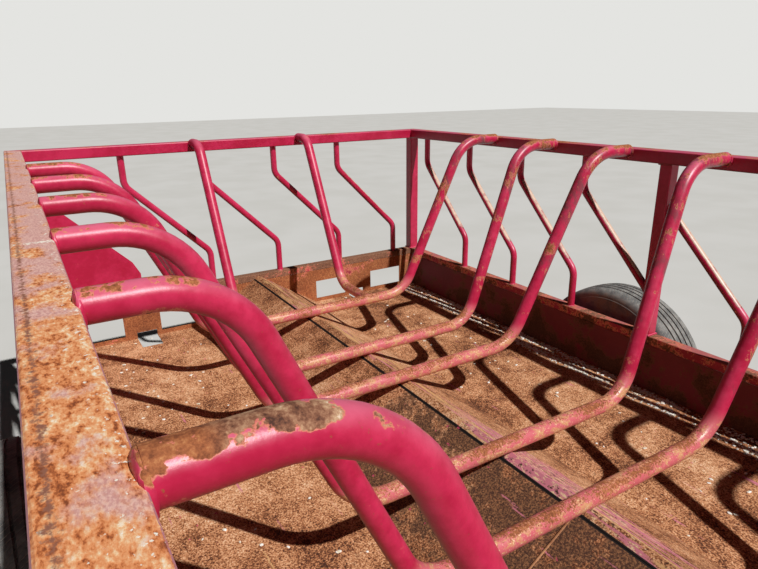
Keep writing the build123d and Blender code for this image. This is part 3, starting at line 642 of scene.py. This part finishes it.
def wheel_nuts(node, body, side, material):
    """Six hexagon nuts with their stud ends, and the valve, on the wheel's disc."""
    low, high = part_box(node)
    centre = (low + high) / 2
    made = bmesh.new()
    lying = Matrix.Rotation(math.radians(90), 4, "X")
    for k in range(BOLT_COUNT):
        angle = 2 * math.pi * k / BOLT_COUNT
        x = centre.x + BOLT_CIRCLE / 2 * math.cos(angle)
        z = centre.z + BOLT_CIRCLE / 2 * math.sin(angle)
        for depth, radius, sides, start in NUT_PARTS:
            y = centre.y + side * (DISC_FACE + start + depth / 2)
            block = bmesh.ops.create_cone(made, cap_ends=True, segments=sides, radius1=radius,
                                          radius2=radius, depth=depth,
                                          matrix=Matrix.Translation((x, y, z)) @ lying)
            rims = [e for e in {e for v in block["verts"] for e in v.link_edges}
                    if abs(e.verts[0].co.y - e.verts[1].co.y) < 1e-6]
            bmesh.ops.bevel(made, geom=rims, offset=NUT_CHAMFER, offset_type="OFFSET", segments=1,
                            profile=0.5, affect="EDGES", material=-1)
    # The valve stem and its cap, between two hand holes
    angle = math.radians(VALVE_DEGREES)
    x = centre.x + VALVE_CIRCLE / 2 * math.cos(angle)
    z = centre.z + VALVE_CIRCLE / 2 * math.sin(angle)
    for depth, radius, sides, start in VALVE_PARTS:
        y = centre.y + side * (DISC_FACE + start + depth / 2)
        bmesh.ops.create_cone(made, cap_ends=True, segments=sides, radius1=radius, radius2=radius,
                              depth=depth, matrix=Matrix.Translation((x, y, z)) @ lying)
    piece(node.replace("tyre", "wheel_nuts"), made, body, material)


def chaff_lines(material):
    """Chaff that the hay has dropped: clumpy drifts by the left panel, and loose bits elsewhere."""
    chance = random.Random(11)
    made = bmesh.new()
    clumps = [chance.uniform(REAR_IN + 0.05, FRONT_IN - 0.05) for _ in range(CLUMP_COUNT)]
    for count, y_mid, spread, clumped in CHAFF_DRIFTS:
        # Built in groups, since one large bmesh takes long to grow
        for start in range(0, count, 100):
            group = bmesh.new()
            for _ in range(min(100, count - start)):
                x = (chance.choice(clumps) + chance.gauss(0, CLUMP_SPREAD) if clumped
                     else chance.uniform(REAR_IN, FRONT_IN))
                x = min(max(x, REAR_IN + 0.03), FRONT_IN - 0.03)
                y = min(max(y_mid + chance.gauss(0, spread), 0.02 - PANEL_IN), PANEL_IN - 0.006)
                size = chance.uniform(GRAIN_LEAST, GRAIN_MOST)
                matrix = (Matrix.Translation((x, y, FLOOR_TOP + size * 0.35))
                          @ Matrix.Rotation(chance.uniform(0, math.pi), 4, "Z")
                          @ Matrix.Diagonal((size * chance.uniform(1.0, 2.0), size, size * 0.45, 1)))
                bmesh.ops.create_icosphere(group, subdivisions=1, radius=1.0, matrix=matrix)
            scratch = bpy.data.meshes.new("group")
            group.to_mesh(scratch)
            group.free()
            made.from_mesh(scratch)
            bpy.data.meshes.remove(scratch)
    piece("chaff", made, "wagon_box", material)


camera_view()

# A sun as the key light, hardly any fill, and an even pale backdrop
key = bpy.data.lights.new("key", "SUN")
key.energy = 3.7
key.angle = math.radians(0.9)
lamp = bpy.data.objects.new("key", key)
lamp.rotation_euler = KEY_LIGHT.to_track_quat("-Z", "Y").to_euler()
bpy.context.collection.objects.link(lamp)

world = bpy.data.worlds.new("surround")
world.use_nodes = True
world.node_tree.nodes.clear()
from_camera = add(world, "ShaderNodeLightPath").outputs["Is Camera Ray"]
fill = add(world, "ShaderNodeBackground", {0: linear("#E6EBF2"), 1: 0.018}).outputs[0]
backdrop = add(world, "ShaderNodeBackground", {0: linear("#E4E4E1"), 1: 1.0}).outputs[0]
either = add(world, "ShaderNodeMixShader", {0: from_camera, 1: fill, 2: backdrop}).outputs[0]
add(world, "ShaderNodeOutputWorld", {0: either})
bpy.context.scene.world = world
bpy.context.scene.view_settings.view_transform = "Standard"

ground = bmesh.new()
bmesh.ops.create_grid(ground, x_segments=1, y_segments=1, size=40.0)
ground_mesh = bpy.data.meshes.new("studio_floor")
ground.to_mesh(ground_mesh)
ground.free()
ground_piece = bpy.data.objects.new("studio_floor", ground_mesh)
bpy.context.collection.objects.link(ground_piece)
ground_mesh.materials.append(studio_floor("matt_floor"))

# Materials
cradle_enamel = enamel_and_rust("crimson_enamel_on_pipe", cradle_wear, deep="#BE1C44", light="#D8305A")
bar_enamel = enamel_and_rust("crimson_enamel_on_bars", bar_wear, streaks=True)
rail_enamel = enamel_and_rust("crimson_enamel_on_rail", rail_wear)
sill_enamel = enamel_and_rust("worn_enamel_on_sill", sill_wear, sheen=0.5, tones=BROWN_TONES,
                              faded_and_highlight="#B8726C")
# The side panels' paint and rust are darkened, partly as painted shade
panel_enamel = enamel_and_rust("rusty_enamel_on_sheet_painted_shade", panel_wear, sheen=0.5, tones=DARK_AND_SHADED_TONES,
                               deep="#721830", light="#862038", border="#70392E")
plate_enamel = enamel_and_rust("rusty_enamel_on_end_plate", plate_wear, sheen=0.5,
                               deep="#8E1C38", light="#A32A46")
frame_enamel = enamel_and_rust("dirty_enamel_on_frame", frame_wear)
rail_rust = rubbed_rail("rubbed_rail_steel")
floor_rust = rusted_floor("rusted_sheet_steel")
rubber = tyre_rubber("weathered_tyre_rubber")
rim_paint = plain_metal("weathered_rim_paint", "#8E8B82", "#B9B6AC", 0.5, size=30.0)
hub_iron = plain_metal("rusty_cast_iron", "#2C2019", "#5A4231", 0.65)
worn_steel = plain_metal("worn_bare_steel", "#5A5048", "#8C8075", 0.4, metallic=0.8)
zinc = plain_metal("dull_zinc_plate", "#6F6B66", "#A19C93", 0.4, metallic=0.9, size=6.0)
weld_metal = plain_metal("rusty_weld_metal", "#9C633F", "#CC9468", 0.6, size=9.0)
straw = chaff_straw("dry_chaff")

FINISHES = {
    "slant_bars": bar_enamel, "end_stays": cradle_enamel, "bale_cradles": cradle_enamel,
    "top_rail": rail_enamel, "corner_posts": rail_enamel, "side_posts": rail_enamel,
    "filler_plate": bar_enamel, "sill": sill_enamel, "side_panel": panel_enamel,
    "end_plate": plate_enamel, "floor": floor_rust, "lower_posts": frame_enamel,
    "cross_members": frame_enamel, "bottom_rail": frame_enamel, "rear_axle": frame_enamel,
    "front_frame": frame_enamel, "front_crossbar": frame_enamel, "front_swivel": frame_enamel,
    "tongue": frame_enamel, "kingpin_cap": worn_steel, "hitch_clevis": worn_steel, "rim": rim_paint,
    "hub": hub_iron, "tyre": rubber,
}
for name, node in nodes.items():
    match = [finish_of for start, finish_of in FINISHES.items() if name.startswith(start)]
    node.data.materials.clear()
    node.data.materials.append(match[0])

# Rolled tube corners
for name in ("top_rail_left", "top_rail_right", "top_rail_rear", "top_rail_front"):
    rolled_copy(name, 0.006, 1.5, rail_rust if name == "top_rail_right" else rail_enamel, "wagon_box")
for name in ("sill_left", "sill_right", "sill_rear", "sill_front"):
    rolled_copy(name, 0.004, 1.5, sill_enamel, "wagon_box")
rolled_copy("corner_posts", 0.005, 0.5, rail_enamel, "wagon_box")
rolled_copy("side_posts", 0.005, 0.5, rail_enamel, "wagon_box")
rolled_copy("bottom_rail_left", 0.006, 1.5, frame_enamel, "wagon_box")
rolled_copy("bottom_rail_right", 0.006, 1.5, frame_enamel, "wagon_box")
rolled_copy("tongue", 0.007, 1.0, frame_enamel, "tongue")

# Welds
cradle_welds = bmesh.new()
for k in range(CRADLE_COUNT):
    for side in (-1, 1):
        x = REAR_IN + CRADLE_FIRST + k * CRADLE_PITCH
        cradle_end(cradle_welds, (x, side * RAIL_IN), (0, -side, 0))
for x, ahead in ((REAR_IN, 1), (FRONT_IN, -1)):
    for side in (-1, 1):
        cradle_end(cradle_welds, (x, side * STAY_SPREAD), (ahead, 0, 0))
uneven(cradle_welds, 0.0005, 3)
piece("cradle_welds", cradle_welds, "wagon_box", cradle_enamel, smooth=60)

bar_welds = bmesh.new()
for side in (-1, 1):
    for k in range(BAR_COUNT):
        top = REAR_IN + BAR_FIRST + k * BAR_PITCH
        weld_ring(bar_welds, (top, side * RAIL_MID, RAIL_BASE), (0, 0, -1), BAR_RADIUS, BAR_BEAD)
        weld_ring(bar_welds, (top + BAR_RUN, side * RAIL_MID, SILL_TOP), (0, 0, 1), BAR_RADIUS, BAR_BEAD)
for x, side in (((REAR_X + REAR_IN) / 2, 1), ((FRONT_X + FRONT_IN) / 2, -1)):
    for k in range(END_BAR_COUNT):
        top = -RAIL_IN + END_BAR_FIRST + k * END_BAR_PITCH
        weld_ring(bar_welds, (x, side * top, RAIL_BASE), (0, 0, -1), BAR_RADIUS, BAR_BEAD)
        weld_ring(bar_welds, (x, side * (top + END_BAR_RUN), SILL_TOP), (0, 0, 1), BAR_RADIUS, BAR_BEAD)
uneven(bar_welds, 0.0004, 5)
piece("bar_welds", bar_welds, "wagon_box", bar_enamel, smooth=60)

post_welds = bmesh.new()
for side in (-1, 1):
    for x, half in (((REAR_X + REAR_IN) / 2, CORNER_HALF), ((FRONT_X + FRONT_IN) / 2, CORNER_HALF),
                    (REAR_IN + SIDE_POST_IN, POST_HALF), (FRONT_IN - SIDE_POST_IN, POST_HALF)):
        weld_collar(post_welds, x, side * RAIL_MID, RAIL_BASE, half, POST_BEAD, -1)
        weld_collar(post_welds, x, side * RAIL_MID, SILL_TOP, half, POST_BEAD, 1)
piece("post_welds", post_welds, "wagon_box", rail_enamel)

# The floor's cross seam, and the mitres of the top rail
seams = bmesh.new()
cross = REAR_IN + CROSS_SEAM
weld_line(seams, (cross, SEAM_Y + 0.02, RIDGE_TOP - 0.0135), (cross, RIDGE_HALF, FLOOR_TOP), *SEAM_BEAD)
weld_line(seams, (cross, RIDGE_HALF, FLOOR_TOP), (cross, PANEL_IN - 0.002, FLOOR_TOP), *SEAM_BEAD)
weld_line(seams, (cross, SEAM_Y - 0.01, RIDGE_TOP - 0.0205), (cross, -RIDGE_HALF, FLOOR_TOP), *SEAM_BEAD)
weld_line(seams, (cross, -RIDGE_HALF, FLOOR_TOP), (cross, -PANEL_IN + 0.002, FLOOR_TOP), *SEAM_BEAD)
piece("floor_seam", seams, "wagon_box", weld_metal)
mitres = bmesh.new()
for x, inner_x in ((REAR_X, REAR_IN), (FRONT_X, FRONT_IN)):
    for side in (-1, 1):
        lean_in = 0.006 if inner_x > x else -0.006
        weld_line(mitres, (x + lean_in, side * (RAIL_OUT - 0.006), RAIL_TOP),
                  (inner_x, side * RAIL_IN, RAIL_TOP), *MITRE_BEAD)
piece("mitre_welds", mitres, "wagon_box", rail_enamel)

# Wheels
for end in ("rear", "front"):
    for name, side in (("left", 1), ("right", -1)):
        detailed_tyre(f"tyre_{end}_{name}", f"wheel_{end}_{name}", rubber)
        wheel_nuts(f"tyre_{end}_{name}", f"wheel_{end}_{name}", side, zinc)

chaff_lines(straw)
